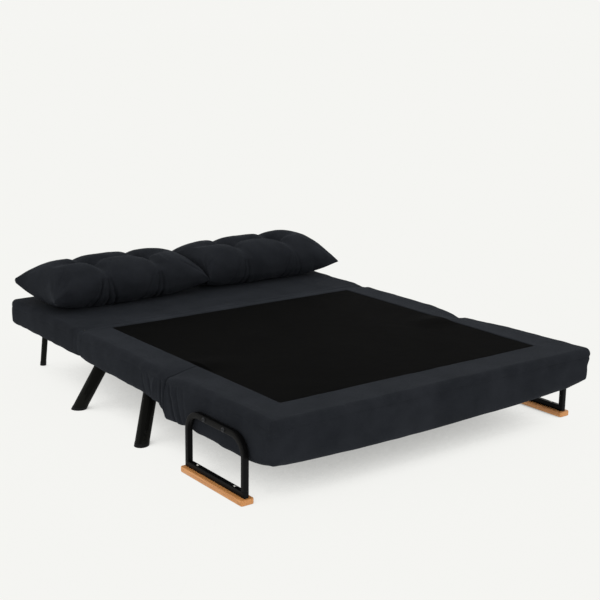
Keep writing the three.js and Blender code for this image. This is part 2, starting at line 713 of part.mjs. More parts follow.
function backrestSection() {
  const group = new THREE.Group();
  const [y0, y1] = [RECLINE.y + JOINT_GAP, HALF_LENGTH];
  const [frame0, frame1] = [RECLINE.y + 24, HALF_LENGTH - 20];
  const rearTube = SUPPORT.y - TUBE / 2;
  const crossYs = [frame0, (frame0 + rearTube) / 2, rearTube, frame1 - TUBE];
  const frame = supportEars.reduce(
    (all, g) => all.add(solid(g)),
    tubeFrame(FRAME_HALF_WIDTH, frame0, frame1, crossYs),
  );
  group.add(
    piece("back_frame", cut(frame, supportBore), materials.frame),
    piece("back_webbing", webbing(FRAME_HALF_WIDTH, frame0, frame1), materials.webbing),
    foamBlock("back_foam", [y0, y1], [OVER_WEBBING, TOP_Z], {
      wedge: 1,
      halfWidth: FRAME_HALF_WIDTH - 6,
      underZ: BASE_UNDER_Z,
      cuts: hingeRooms([[0, 0, 21]]),
    }),
    cover("back_cover", y0, y1, BASE_UNDER_Z, {
      wedge: 1,
      openings: [
        box([-640, y0 + 20, BASE_UNDER_Z - 5], [640, y1 - 30, BASE_UNDER_Z + WALL + 1]),
        ...hingeRooms([[0, 0, 21], [36, -62, 12]]),
      ],
    }),
    supportFrame(),
  );
  addBothSides(group, (side) => [
    ratchetArm(side),
    pawl(side),
    pawlSpring(side),
    supportCap(side),
    pillow(side),
  ]);
  return group;
}

function frontSection() {
  const group = new THREE.Group();
  const [y0, y1] = [-HALF_LENGTH, FOLD.y - JOINT_GAP];
  const [frame0, frame1] = [-HALF_LENGTH + 20, FOLD.y - 15];
  const third = (frame1 - frame0 - TUBE) / 3;
  const crossYs = [0, 1, 2, 3].map((i) => frame0 + i * third);
  const tongues = [-1, 1].map((sign) => foldPlate(sign * FOLD_X.tongue, -9));
  const frame = tongues.reduce(
    (all, g) => all.add(solid(g)),
    tubeFrame(FRONT_FRAME_HALF_WIDTH, frame0, frame1, crossYs),
  );
  const armBoltBores = armBoltYs.map((y) =>
    rodX(ARM_BOLT.radius + GAP, -ARM.x, ARM.x, y, ARM_BOLT.z, 10),
  );
  const foamShape = {
    halfWidth: HALF_WIDTH - WALL - 1,
    underZ: FRONT_UNDER_Z,
    cuts: [...foldSlots(-1), ...armBoltBores],
  };
  group.add(
    piece(
      "front_frame",
      cut(frame, foldBore(1), foldBore(-1), ...armBoltBores.map((g) => g.clone())),
      materials.frame,
    ),
    piece("front_webbing", webbing(FRONT_FRAME_HALF_WIDTH, frame0, frame1), materials.webbing),
    foamBlock("front_foam_bed_side", [y0, y1], [OVER_WEBBING, TOP_Z], foamShape),
    foamBlock("front_foam_seat_side", [y0, y1], [FRONT_UNDER_Z, FRAME_Z - 1], foamShape),
    cover("front_cover", y0, y1, FRONT_UNDER_Z, {
      openings: [
        box([-PANEL_HALF_WIDTH, PANEL_FOOT_Y, TOP_Z - WALL], [PANEL_HALF_WIDTH, y1 + 5, TOP_Z + 5]),
        ...foldSlots(-1),
        ...armBoltBores,
      ],
    }),
    liningPanel("front_lining", PANEL_FOOT_Y + 1, y1, -1),
  );
  addBothSides(group, (side) => [
    armLoop(side),
    skid(side),
    ...armBoltYs.map((y, i) => armBolt(`arm_bolt_${"ab"[i]}_${side}`, y)),
    ...skidScrewYs.map((y, i) => skidScrew(`skid_screw_${"ab"[i]}_${side}`, y)),
  ]);
  return group;
}

const sofaBed = new THREE.Group();
sofaBed.add(baseSection(), backrestSection(), frontSection());

export default sofaBed;
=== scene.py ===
import math

import bmesh
import bpy
import numpy as np
from mathutils import Matrix, Vector
from mathutils.bvhtree import BVHTree


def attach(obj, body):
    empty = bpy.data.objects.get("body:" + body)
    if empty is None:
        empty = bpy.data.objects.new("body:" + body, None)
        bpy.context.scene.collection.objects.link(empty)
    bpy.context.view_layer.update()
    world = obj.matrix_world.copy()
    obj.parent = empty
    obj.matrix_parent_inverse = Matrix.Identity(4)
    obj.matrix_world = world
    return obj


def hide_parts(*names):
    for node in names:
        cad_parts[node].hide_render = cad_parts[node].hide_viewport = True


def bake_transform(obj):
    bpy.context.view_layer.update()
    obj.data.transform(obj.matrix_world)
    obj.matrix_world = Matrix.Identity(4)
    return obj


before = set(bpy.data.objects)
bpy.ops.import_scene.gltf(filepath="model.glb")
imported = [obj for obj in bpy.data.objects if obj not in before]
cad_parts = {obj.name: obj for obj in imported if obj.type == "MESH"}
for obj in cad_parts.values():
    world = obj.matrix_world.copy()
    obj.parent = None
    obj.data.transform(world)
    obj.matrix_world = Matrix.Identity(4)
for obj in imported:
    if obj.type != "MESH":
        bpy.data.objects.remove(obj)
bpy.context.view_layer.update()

# -------------------- sizes, in metres

HALF_WIDTH, HEAD_Y, FOOT_Y, TOP_Z = 0.722, 0.976, -0.954, 0.2985
BASE_UNDER_Z, FRONT_UNDER_Z = 0.193, 0.141
FOLD_Y, FOLD_Z = -0.315, 0.3  # the front section's hinge line
RECLINE_Y, RECLINE_Z = 0.35, 0.279  # the backrest's hinge line
FOLD_GAP, RECLINE_GAP = 0.0003, 0.002  # from each hinge line to the covers beside it
WELT_DROP = 0.03  # from the top of a cover to its welt
COVER_PROUD = 0.0006  # the most that a cover rises above the top
PANEL_X, PANEL_Y = 0.59, (-0.8, 0.316)  # the black lining's half width, and its ends
PANEL_SINK = 0.004
HINGE_X = 0.565  # middle of each fold hinge
SIDES = (("left", -1), ("right", 1))
QUARTERS = ((1, 1), (-1, 1), (-1, -1), (1, -1))  # the signs of x and y round a rectangle


# -------------------- noise and mesh helpers

CELLS = 32
LATTICE = np.random.default_rng(7).random((CELLS, CELLS, CELLS))


def noise(p, scale):
    """Smooth value noise from -1 to 1 at points p, with features about scale wide."""
    q = np.asarray(p, float) / scale
    cell = np.floor(q).astype(int)
    t = q - cell
    t = t * t * (3 - 2 * t)
    total = np.zeros(len(q))
    for corner in np.ndindex(2, 2, 2):
        weight = np.prod(np.where(np.array(corner) == 1, t, 1 - t), axis=1)
        i, j, k = ((cell + corner) % CELLS).T
        total += weight * LATTICE[i, j, k]
    return 2 * total - 1


def smoothstep(x, low, high):
    t = np.clip((x - low) / (high - low), 0, 1)
    return t * t * (3 - 2 * t)


def bump(x, centre, width):
    return np.exp(-(((x - centre) / width) ** 2))


def add_to_scene(name, data):
    obj = bpy.data.objects.new(name, data)
    bpy.context.scene.collection.objects.link(obj)
    return obj


def new_object(name, verts, faces, material, smooth=True):
    mesh = bpy.data.meshes.new(name)
    mesh.from_pydata([tuple(v) for v in verts], [], [tuple(map(int, f)) for f in faces])
    mesh.validate()
    mesh.materials.append(material)
    if smooth:
        mesh.shade_smooth()
    return add_to_scene(name, mesh)


def vectors(items, key):
    """One vector per mesh element, as rows."""
    out = np.empty(3 * len(items))
    items.foreach_get(key, out)
    return out.reshape(-1, 3)


def coords(obj):
    return vectors(obj.data.vertices, "co")


def set_coords(obj, points):
    obj.data.vertices.foreach_set("co", np.ascontiguousarray(points, float).ravel())
    obj.data.update()


def normals(obj):
    return vectors(obj.data.vertex_normals, "vector")


def apply_modifiers(obj):
    bpy.context.view_layer.update()
    graph = bpy.context.evaluated_depsgraph_get()
    mesh = bpy.data.meshes.new_from_object(obj.evaluated_get(graph))
    obj.modifiers.clear()
    old, obj.data = obj.data, mesh
    bpy.data.meshes.remove(old)
    obj.data.shade_smooth()


def subdivide(obj):
    obj.modifiers.new("subdivision", "SUBSURF").levels = 1
    apply_modifiers(obj)


def grid_faces(rows, columns, first=0, flip=False, wrap=False, ring=False):
    """Quads over rows of vertices; wrap closes each row, and ring joins the last row to the first."""
    faces = []
    for i in range(rows if ring else rows - 1):
        for j in range(columns if wrap else columns - 1):
            k = (j + 1) % columns
            a, b = first + i * columns, first + (i + 1) % rows * columns
            quad = (a + j, a + k, b + k, b + j)
            faces.append(quad[::-1] if flip else quad)
    return faces


def edge_of_grid(rows, columns):
    """The numbers of a grid's vertices round its edge."""
    index = np.arange(rows * columns).reshape(rows, columns)
    return np.concatenate([index[:-1, 0], index[-1, :-1], index[:0:-1, -1], index[0, :0:-1]])


def capped_faces(rows, columns):
    """The faces of a solid made of closed rows, with a cap on its first row and on its last."""
    last = rows * columns - 1
    caps = [tuple(range(columns)), tuple(range(last, last - columns, -1))]
    return grid_faces(rows, columns, wrap=True) + caps


# -------------------- materials


class Nodes:
    """Short calls for building a material's node tree."""

    def __init__(self, name):
        self.material = bpy.data.materials.new(name)
        self.material.use_nodes = True
        self.tree = self.material.node_tree
        self.shader = self.tree.nodes["Principled BSDF"]
        self.coordinates = self.add("ShaderNodeTexCoord").outputs["Object"]

    def add(self, kind, inputs=(), **values):
        """A new node with its properties set, and its inputs linked or set by name or number."""
        node = self.tree.nodes.new(kind)
        for key, value in values.items():
            setattr(node, key, value)
        for key, source in dict(inputs).items():
            self.link(source, node.inputs[key])
        return node

    def link(self, source, target):
        if hasattr(source, "is_output"):
            self.tree.links.new(source, target)
        else:
            target.default_value = source

    def math(self, operation, a, b=0.0, c=0.0):
        return self.add("ShaderNodeMath", enumerate((a, b, c)), operation=operation).outputs[0]

    def times(self, a, b):
        return self.math("MULTIPLY", a, b)

    def line(self, source, slope, offset):
        return self.math("MULTIPLY_ADD", source, slope, offset)

    def scaled(self, factors):
        return self.add("ShaderNodeMapping", {"Vector": self.coordinates, "Scale": factors}).outputs[0]

    def noise(self, scale, detail, rough, vector=None):
        inputs = {"Vector": vector or self.coordinates}
        inputs.update({"Scale": scale, "Detail": detail, "Roughness": rough})
        return self.add("ShaderNodeTexNoise", inputs).outputs["Fac"]

    def cells(self, scale, randomness=1.0):
        inputs = {"Vector": self.coordinates, "Scale": scale, "Randomness": randomness}
        return self.add("ShaderNodeTexVoronoi", inputs).outputs["Distance"]

    def ramp(self, factor, *stops):
        node = self.add("ShaderNodeValToRGB")
        self.link(factor, node.inputs[0])
        elements = node.color_ramp.elements
        while len(elements) < len(stops):
            elements.new(0.5)
        for element, (place, colour) in zip(elements, stops):
            element.position = place
            element.color = (*colour, 1)
        return node.outputs[0]

    def mix(self, factor, a, b):
        a, b = ((*source, 1) if isinstance(source, tuple) else source for source in (a, b))
        return self.add("ShaderNodeMix", {0: factor, 6: a, 7: b}, data_type="RGBA").outputs[2]

    def bump(self, height, strength, distance, under=None):
        inputs = {"Strength": strength, "Distance": distance, "Height": height}
        if under is not None:
            inputs["Normal"] = under
        return self.add("ShaderNodeBump", inputs).outputs[0]

    def finish(self, colour, roughness, normal, **fixed):
        inputs = self.shader.inputs
        self.link((*colour, 1) if isinstance(colour, tuple) else colour, inputs["Base Color"])
        self.link(roughness, inputs["Roughness"])
        if normal is not None:
            self.link(normal, inputs["Normal"])
        for key, value in fixed.items():
            inputs[key.replace("_", " ")].default_value = value
        return self.material


def woven(n, pitch):
    """Height of a plain weave with threads pitch apart, laid on whichever plane the surface faces."""
    place = n.add("ShaderNodeSeparateXYZ", {0: n.coordinates})
    facing = n.add("ShaderNodeSeparateXYZ", {0: n.add("ShaderNodeTexCoord").outputs["Normal"]})
    turns = [n.math("SINE", n.times(axis, math.pi / pitch)) for axis in place.outputs]
    total = None
    for a, b, c in ((0, 1, 2), (1, 2, 0), (2, 0, 1)):
        share = n.times(facing.outputs[c], facing.outputs[c])
        part = n.times(n.times(turns[a], turns[b]), share)
        total = part if total is None else n.math("ADD", total, part)
    return n.line(total, 0.5, 0.5)


def upholstery(name, light, dark):
    """Matt woven polyester: a fine weave, slubs, faint mottling, and fuzz."""
    n = Nodes(name)
    weave = woven(n, 0.0011)
    slub = n.noise(420, 3, 0.65, n.scaled((1, 0.35, 1)))
    mottle = n.noise(9, 4, 0.6)
    fuzz = n.noise(1500, 2, 0.6)
    colour = n.ramp(mottle, (0.3, dark), (0.72, light))
    colour = n.mix(n.times(weave, 0.35), colour, tuple(c * 0.45 for c in dark))
    colour = n.mix(n.times(n.math("GREATER_THAN", slub, 0.63), 0.3), colour,
                   tuple(min(1, c * 1.9) for c in light))
    roughness = n.line(mottle, 0.16, 0.78)
    normal = n.bump(mottle, 0.1, 0.004)
    normal = n.bump(n.math("ADD", slub, n.times(fuzz, 0.5)), 0.35, 0.0006, normal)
    normal = n.bump(weave, 0.55, 0.0005, normal)
    return n.finish(colour, roughness, normal, Sheen_Weight=0.03, Sheen_Roughness=0.45,
                    Specular_IOR_Level=0.02, Sheen_Tint=(0.75, 0.85, 1.0, 1))


def nonwoven(name, colour):
    """Thin bonded lining: embossed dots and matted fibres."""
    n = Nodes(name)
    fibres = n.noise(260, 5, 0.75)
    patches = n.noise(5, 3, 0.6)
    pit = n.math("SMOOTH_MIN", n.cells(330, 0.15), 0.35, 0.1)
    tone = n.line(patches, 0.5, n.times(fibres, 0.6))
    shade = n.ramp(tone, (0.3, tuple(c * 0.65 for c in colour)), (0.75, tuple(c * 1.5 for c in colour)))
    normal = n.bump(fibres, 0.25, 0.0006)
    normal = n.bump(pit, 0.5, 0.0005, normal)
    return n.finish(shade, n.line(fibres, 0.2, 0.72), normal, Specular_IOR_Level=0.015)


def powder_coat(name, colour, roughness):
    """Black powder coat: fine orange peel, dust in patches, and edges rubbed a little lighter."""
    n = Nodes(name)
    peel = n.noise(900, 2, 0.5)
    dust = n.noise(14, 5, 0.65)
    edge = n.add("ShaderNodeNewGeometry").outputs["Pointiness"]
    rubbed = n.math("GREATER_THAN", n.math("ADD", edge, n.times(dust, 0.05)), 0.565)
    shade = n.mix(n.times(dust, 0.4), colour, tuple(c * 2.0 for c in colour))
    shade = n.mix(n.times(rubbed, 0.5), shade, tuple(c * 4 for c in colour))
    rough = n.line(dust, 0.22, roughness - 0.1)
    return n.finish(shade, rough, n.bump(peel, 0.22, 0.0004), Specular_IOR_Level=0.042)


def zinc_plate(name, colour, roughness):
    """Plated or blackened steel: brushed streaks and dull patches."""
    n = Nodes(name)
    streaks = n.noise(60, 4, 0.7, n.scaled((1, 1, 14)))
    patches = n.noise(35, 4, 0.6)
    shade = n.mix(n.times(patches, 0.5), colour, tuple(c * 0.6 for c in colour))
    rough = n.line(n.math("ADD", streaks, patches), 0.18, roughness - 0.12)
    return n.finish(shade, rough, n.bump(streaks, 0.18, 0.0003), Metallic=1.0)


def moulded_plastic(name, colour):
    """Moulded plastic with a fine spark-eroded grain and scuffs."""
    n = Nodes(name)
    grain = n.noise(1400, 2, 0.5)
    scuffs = n.noise(70, 4, 0.7, n.scaled((1, 4, 1)))
    shade = n.mix(n.times(scuffs, 0.5), colour, tuple(c * 2.2 for c in colour))
    rough = n.line(scuffs, 0.25, 0.5)
    return n.finish(shade, rough, n.bump(grain, 0.3, 0.0003), Specular_IOR_Level=0.12)


def oak(name):
    """Oiled oak with its grain along Y: bands, darker pores in short dashes, and a satin finish."""
    n = Nodes(name)
    place = n.scaled((9, 0.55, 9))
    warp = n.noise(2.2, 3, 0.55, place)
    inputs = {"Vector": place, "Scale": 3.2, "Distortion": 5.5, "Detail": 3.0, "Detail Scale": 1.6}
    rings = n.add("ShaderNodeTexWave", inputs, wave_type="RINGS", rings_direction="Y").outputs["Fac"]
    band = n.line(warp, 0.45, n.times(rings, 0.55))
    shade = n.ramp(band, (0.18, (0.55, 0.228, 0.066)), (0.48, (0.72, 0.33, 0.104)),
                   (0.85, (0.45, 0.173, 0.049)))
    pores = n.noise(150, 3, 0.7, n.scaled((5, 0.22, 5)))
    dash = n.times(n.math("GREATER_THAN", pores, 0.6), 0.55)
    shade = n.mix(dash, shade, (0.17, 0.06, 0.02))
    normal = n.bump(n.math("SUBTRACT", 1.0, pores), 0.25, 0.0005)
    normal = n.bump(band, 0.12, 0.0006, normal)
    rough = n.line(pores, 0.22, 0.34)
    return n.finish(shade, rough, normal, Coat_Weight=0.12, Coat_Roughness=0.35, Specular_IOR_Level=0.4)


def foam_material(name):
    """Cream open-cell foam, with painted shade darkening its pores."""
    n = Nodes(name)
    cells = n.cells(480)
    patches = n.noise(12, 4, 0.6)
    # Painted shade: the pores are darkened in the colour itself.
    shade = n.ramp(cells, (0.05, (0.42, 0.35, 0.2)), (0.45, (0.72, 0.64, 0.42)))
    shade = n.mix(n.times(patches, 0.3), shade, (0.62, 0.48, 0.26))
    return n.finish(shade, 0.95, n.bump(cells, 0.6, 0.001), Sheen_Weight=0.1)


def webbing_material(name):
    """Elastic webbing: woven ribs with a pale thread now and then."""
    n = Nodes(name)
    weave = woven(n, 0.0022)
    thread = n.noise(90, 2, 0.6, n.scaled((1, 0.2, 1)))
    shade = n.mix(n.times(weave, 0.6), (0.022, 0.022, 0.023), (0.006, 0.006, 0.006))
    pale = n.times(n.math("GREATER_THAN", thread, 0.64), 0.4)
    shade = n.mix(pale, shade, (0.08, 0.08, 0.08))
    return n.finish(shade, 0.8, n.bump(weave, 0.8, 0.0008), Sheen_Weight=0.15)


COVER = upholstery("charcoal_weave", (0.0213, 0.0234, 0.0286), (0.013, 0.0146, 0.0182))
# Painted shade: a darker copy of the cover cloth for the backrest, standing in for the dimmer light at
# the head end of the bed.
BACK_COVER_PAINTED_SHADE = upholstery("charcoal_weave_back_painted_shade", (0.0178, 0.0195, 0.0238), (0.0108, 0.0121, 0.0151))
PILLOW = upholstery("charcoal_weave_pillow", (0.0195, 0.0214, 0.026), (0.012, 0.0133, 0.0165))
LINING = nonwoven("black_nonwoven", (0.0016, 0.0016, 0.0016))
FRAME_PAINT = powder_coat("satin_black_powder", (0.0026, 0.0026, 0.0027), 0.32)
LEG_PAINT = powder_coat("matt_black_powder", (0.0026, 0.0027, 0.0023), 0.45)
CAP = moulded_plastic("black_moulded_plastic", (0.004, 0.004, 0.0043))
HINGE = zinc_plate("blackened_steel", (0.022, 0.023, 0.025), 0.42)
SPRING = zinc_plate("spring_steel", (0.45, 0.46, 0.48), 0.3)
SCREW = zinc_plate("nickel_plate", (0.72, 0.71, 0.68), 0.28)
BOLT = zinc_plate("black_oxide", (0.042, 0.043, 0.047), 0.34)
OAK = oak("oiled_oak")
FOAM = foam_material("cream_foam")
WEBBING = webbing_material("elastic_webbing")


# -------------------- pads


def spaced(low, high, step, marks=(), crowd=0.006):
    """Grid lines from low to high about step apart, with extra ones crowded round each mark."""
    lines = set(np.round(np.linspace(low, high, max(2, round((high - low) / step) + 1)), 5))
    for mark in marks:
        lines |= {round(mark + k * crowd, 5) for k in (-2, -1, 0, 1, 2)}
    inside = sorted(v for v in lines if low <= v <= high)
    kept = [inside[0]]
    for value in inside[1:]:
        if value - kept[-1] > 0.35 * crowd:
            kept.append(value)
    return np.array(kept)


def round_corners(x, y, low, high, radius):
    """Moves points of a rectangle so that its corners become round."""
    for sx, sy in QUARTERS:
        cx = high[0] - radius if sx > 0 else low[0] + radius
        cy = high[1] - radius if sy > 0 else low[1] + radius
        dx, dy = np.maximum(sx * (x - cx), 0), np.maximum(sy * (y - cy), 0)
        inside = (dx > 0) & (dy > 0)
        reach = np.maximum(dx, dy)
        ratio = np.minimum(dx, dy) / np.maximum(reach, 1e-9)
        angle = np.where(dy < dx, ratio, 2 - ratio) * math.pi / 4
        x = np.where(inside, cx + sx * reach * np.cos(angle), x)
        y = np.where(inside, cy + sy * reach * np.sin(angle), y)
    return x, y


def pad(name, low, high, rolls, material, marks, rings_at, extra_y):
    """A closed pad with flat top and bottom, round corners in plan and rolled edges.

    rolls gives how far the edge is rolled on the sides, at the foot and at the head. The walls get
    extra rings at the heights in rings_at, and the flat faces extra lines at the places in extra_y."""
    step, corner = 0.014, 0.0015
    side, foot, head = rolls
    inner_low, inner_high = low[:2] + (side, foot), high[:2] - (side, head)
    lines = []
    for axis in (0, 1):
        ends = (inner_low[axis], inner_high[axis])
        near = [end + sign * k
                for end, sign in zip(ends, (1, -1)) for k in (0.001, 0.003, 0.006, 0.009)]
        more = [y for y in extra_y if ends[0] < y < ends[1]] if axis else []
        values = np.unique(np.round([*spaced(*ends, step, marks[axis]), *near, *more], 5))
        lines.append(values[np.append(True, np.diff(values) > 0.0009)])
    gx, gy = np.meshgrid(*lines, indexing="ij")
    px, py = round_corners(gx, gy, inner_low, inner_high, corner)
    nx, ny = gx.shape
    top = np.stack([px, py, np.full_like(px, high[2])], -1).reshape(-1, 3)
    under = top.copy()
    under[:, 2] = low[2]
    edge = edge_of_grid(nx, ny)
    outline = top[edge, :2]
    chord = np.roll(outline, -1, 0) - np.roll(outline, 1, 0)
    outward = np.stack([chord[:, 1], -chord[:, 0]], 1)
    outward /= np.linalg.norm(outward, axis=1)[:, None]
    ends = np.where(outward[:, 1] < 0, foot, head)
    offset = outward * np.column_stack([np.full(len(edge), side), ends])
    drop = side * outward[:, 0] ** 2 + ends * outward[:, 1] ** 2
    heights = np.linspace(high[2] - side, low[2] + side, 1 + round((high[2] - low[2]) / (0.6 * step)))
    heights = sorted({*np.round(heights, 4), *rings_at}, reverse=True)
    shares = [(heights[0] - z) / (heights[0] - heights[-1]) for z in heights]
    rings = []
    for angle in np.linspace(0, math.pi / 2, 6)[1:]:
        rings.append((math.sin(angle), high[2] - drop * (1 - math.cos(angle))))
    for share in shares[1:]:
        rings.append((1, (1 - share) * (high[2] - drop) + share * (low[2] + drop)))
    for angle in np.linspace(0, math.pi / 2, 6)[1:-1]:
        rings.append((math.cos(angle), low[2] + drop * (1 - math.sin(angle))))
    walls = [np.column_stack([outline + offset * share, z]) for share, z in rings]
    verts = np.concatenate([top, under, *walls])
    faces = grid_faces(nx, ny, flip=True) + grid_faces(nx, ny, nx * ny)
    count = len(edge)
    loops = [edge] + [2 * nx * ny + i * count + np.arange(count) for i in range(len(walls))]
    loops.append(edge + nx * ny)
    for a, b in zip(loops, loops[1:]):
        faces += list(zip(a, b, np.roll(b, -1), np.roll(a, -1)))
    return closed_object(name, verts, faces, material)


def closed_object(name, verts, faces, material):
    obj = new_object(name, verts, faces, material)
    bm = bmesh.new()
    bm.from_mesh(obj.data)
    bmesh.ops.recalc_face_normals(bm, faces=bm.faces)
    bm.to_mesh(obj.data)
    bm.free()
    obj.data.shade_smooth()
    return obj


# Where the cloth is creased down the sides at the fold joint: y at the top, y at the hem, depth, width.
SIDE_CREASES = (
    (-0.15, -0.176, 0.0018, 0.006),
    (-0.183, -0.229, 0.0052, 0.0048),
    (-0.252, -0.227, -0.0042, 0.0085),
    (-0.27, -0.262, 0.0022, 0.004),
    (-0.29, -0.288, 0.0062, 0.0046),
    (-0.306, -0.312, -0.0032, 0.007),
    (-0.33, -0.366, 0.0066, 0.0048),
    (-0.35, -0.392, -0.003, 0.008),
    (-0.385, -0.409, 0.0034, 0.005),
    (-0.425, -0.445, 0.0016, 0.008),
)

# The height of the hem along the sides: y and z.
HEM = (
    (-0.95, 0.147), (-0.89, 0.136), (-0.771, 0.127), (-0.69, 0.129), (-0.655, 0.127), (-0.6, 0.132),
    (-0.55, 0.132), (-0.503, 0.128), (-0.459, 0.134), (-0.4, 0.13), (-0.355, 0.125), (-0.315, 0.128),
    (-0.288, 0.146), (-0.275, 0.152), (-0.262, 0.165), (-0.178, 0.17), (-0.121, 0.176), (0.05, 0.179),
    (0.266, 0.181), (0.33, 0.186), (0.351, 0.191), (0.419, 0.189), (0.692, 0.191), (0.9, 0.192),
)
# How far the top edge droops next to the joints, on the left side and on the right side: y and drop.
DROOP = {
    -1: ((-0.48, 0), (-0.42, 0.004), (-0.36, 0.012), (-0.32, 0.02), (-0.3, 0.016), (-0.27, 0.008),
         (-0.22, 0.002), (-0.19, 0), (0.305, 0), (0.344, 0.01), (0.375, 0.004), (0.4, 0)),
    1: ((-0.56, 0), (-0.5, 0.002), (-0.46, 0.003), (-0.42, 0.006), (-0.36, 0.008),
        (-0.3155, 0.011), (-0.3145, 0.029), (-0.3, 0.026), (-0.27, 0.019), (-0.24, 0.012),
        (-0.18, 0.0045), (-0.12, 0.0015), (-0.05, 0), (0.305, 0), (0.34, 0.011), (0.375, 0.005),
        (0.41, 0)),
}
# How far the top of the right side leans out towards the foot: y and x.
FLARE = (
    (-0.95, 0.014), (-0.86, 0.018), (-0.76, 0.016), (-0.69, 0.013), (-0.62, 0.008), (-0.52, 0.0),
)
CORNER_FLARE = 0.009  # and how much further the whole right corner of the foot stands out
# The height of the foot's hem across the width, against the underside: x and z.
FOOT_HEM = (
    (-0.72, 0.006), (-0.64, 0.003), (-0.54, 0.001), (-0.37, -0.004), (-0.22, -0.005), (0.0, -0.004),
    (0.17, 0.0), (0.35, 0.003), (0.54, 0.013), (0.62, 0.016), (0.68, 0.025), (0.72, 0.034),
)


def crease(x, centre, width):
    """A fold with a sharp bottom, 1 at its middle and 0 beyond its width."""
    return np.maximum(0, 1 - np.abs(x - centre) / width) ** 1.4


def side_folds(points):
    """How far the loose cloth at the fold joint moves outwards: creases, and ridges between them."""
    _, y, z = points.T
    down = np.clip((0.285 - z) / 0.11, 0, 1.3)
    total = np.zeros(len(points))
    wander = 0.004 * noise(points, 0.03)
    for top_y, hem_y, depth, width in SIDE_CREASES:
        line = top_y + (hem_y - top_y) * down + wander
        fold = crease if depth > 0 else bump
        reach = 1.25 * width * (1 + 0.4 * down)
        total -= 1.5 * depth * fold(y, line, reach) * smoothstep(down, 0.1, 0.42)
    slack = bump(y, -0.3, 0.075) * smoothstep(down, 0.1, 0.9)
    return total + 0.0045 * slack


def from_joints(y):
    """How far each place along the bed is from the nearer of the two joints."""
    return np.minimum(np.abs(y - FOLD_Y), np.abs(y - RECLINE_Y))


def soften(points, out, low, high, panel, seam_z):
    """Worn-in upholstery: sides that bulge, small puckers along the seam, and a little unevenness."""
    _, y, z = points.T
    u = (points - (low + high) / 2) / ((high - low) / 2)
    side = 1 - smoothstep(np.abs(out[:, 2]), 0.2, 0.8)
    shift = 0.001 * noise(points, 0.17) + 0.0006 * noise(points, 0.05)
    shift += side * 0.004 * (1 - u[:, 2] ** 2)
    near = bump(z, seam_z, 0.012) * side
    at_foot = smoothstep(y, -0.85, -0.93)
    shift += near * (0.0014 + 0.0016 * at_foot) * noise(points * (1, 1, 0.25), 0.026)
    edge = bump(z, high[2] - 0.012, 0.045) * smoothstep(np.abs(u[:, :2]).max(1), 0.93, 1.0)
    edge *= smoothstep(from_joints(y), 0.01, 0.05)
    shift += edge * (0.0016 * noise(points, 0.055) + 0.0014 * noise(points * (1, 1, 0.4), 0.026))
    shift -= side * (0.0016 + 0.0022 * at_foot) * bump(z, seam_z, 0.003 + 0.0015 * at_foot)
    points = points + out * shift[:, None]
    if panel is not None:
        x, y, z = points.T
        x0, x1, y0, y1 = panel
        inside = np.minimum.reduce((x - x0, x1 - x, y - y0, y1 - y))
        rim = 0.0012 * bump(inside, -0.008, 0.007)
        upper = (out[:, 2] > 0.5) | (z > high[2] - 0.003)
        z += np.where(upper, rim - PANEL_SINK * smoothstep(inside, -0.003, 0.004), 0)
    return points


def along(places, table):
    """Reads a table of places and values at each place."""
    return np.interp(places, *np.array(table).T)


def drape(points, low, high):
    """The drooping edges that the joints leave in the cloth, and the uneven hem."""
    x, y, z = points.T
    rim = smoothstep(np.abs(x), 0.6, 0.715)
    lower = np.clip((high[2] - z) / (high[2] - low[2]), 0, 1)
    droop = np.where(x < 0, along(y, DROOP[-1]), along(y, DROOP[1]))
    z -= droop * rim * (1 - lower) ** 2
    hang = along(y, HEM) - low[2] + 0.002 * noise(points * (1, 1, 0), 0.03)
    z += hang * smoothstep(np.abs(x), 0.6, 0.705) * lower**2.5
    z += along(x, FOOT_HEM) * smoothstep(y, -0.86, -0.93) * lower**2.5
    flare = along(y, FLARE) * (y < FOLD_Y)
    at_right = smoothstep(x, 0.6, 0.7)
    x += flare * at_right * smoothstep(z, 0.232, 0.28)
    x += CORNER_FLARE * at_right * smoothstep(y, -0.85, -0.925)
    return points


def crease_sides(obj):
    points = coords(obj)
    x = points[:, 0]
    x += np.sign(x) * smoothstep(np.abs(x), 0.69, 0.712) * side_folds(points)
    set_coords(obj, points)


def swell(obj, held, slack, pressure, frames, cap, stiffness):
    """Blows a closed cloth shell up a little with Blender's cloth, keeping the held vertices in place.

    slack is how much longer the cloth is than its shape, as a weight for each vertex; cap limits how
    far any vertex may move."""
    start = coords(obj)
    pins = obj.vertex_groups.new(name="pins")
    loose = obj.vertex_groups.new(name="loose")
    for group, weights in ((pins, held), (loose, slack)):
        for value in np.unique(np.round(weights, 2)):
            chosen = np.nonzero(np.round(weights, 2) == value)[0]
            group.add([int(i) for i in chosen], float(value), "REPLACE")
    cloth = obj.modifiers.new("cloth", "CLOTH")
    for key, value in {
        "mass": 0.25,
        "tension_stiffness": stiffness, "compression_stiffness": stiffness,
        "shear_stiffness": stiffness / 2, "bending_stiffness": 0.25,
        "tension_damping": 8, "compression_damping": 8,
        "use_pressure": True, "uniform_pressure_force": pressure,
        "vertex_group_mass": "pins", "vertex_group_shrink": "loose",
        "shrink_max": -0.12,
    }.items():
        setattr(cloth.settings, key, value)
    cloth.settings.effector_weights.gravity = 0
    cloth.collision_settings.use_collision = False
    cloth.point_cache.frame_end = frames
    scene = bpy.context.scene
    for frame_number in range(1, frames + 1):
        scene.frame_set(frame_number)
    apply_modifiers(obj)
    scene.frame_set(1)
    move = coords(obj) - start
    length = np.maximum(np.linalg.norm(move, axis=1), 1e-9)
    set_coords(obj, start + move * np.minimum(1, cap / length)[:, None])


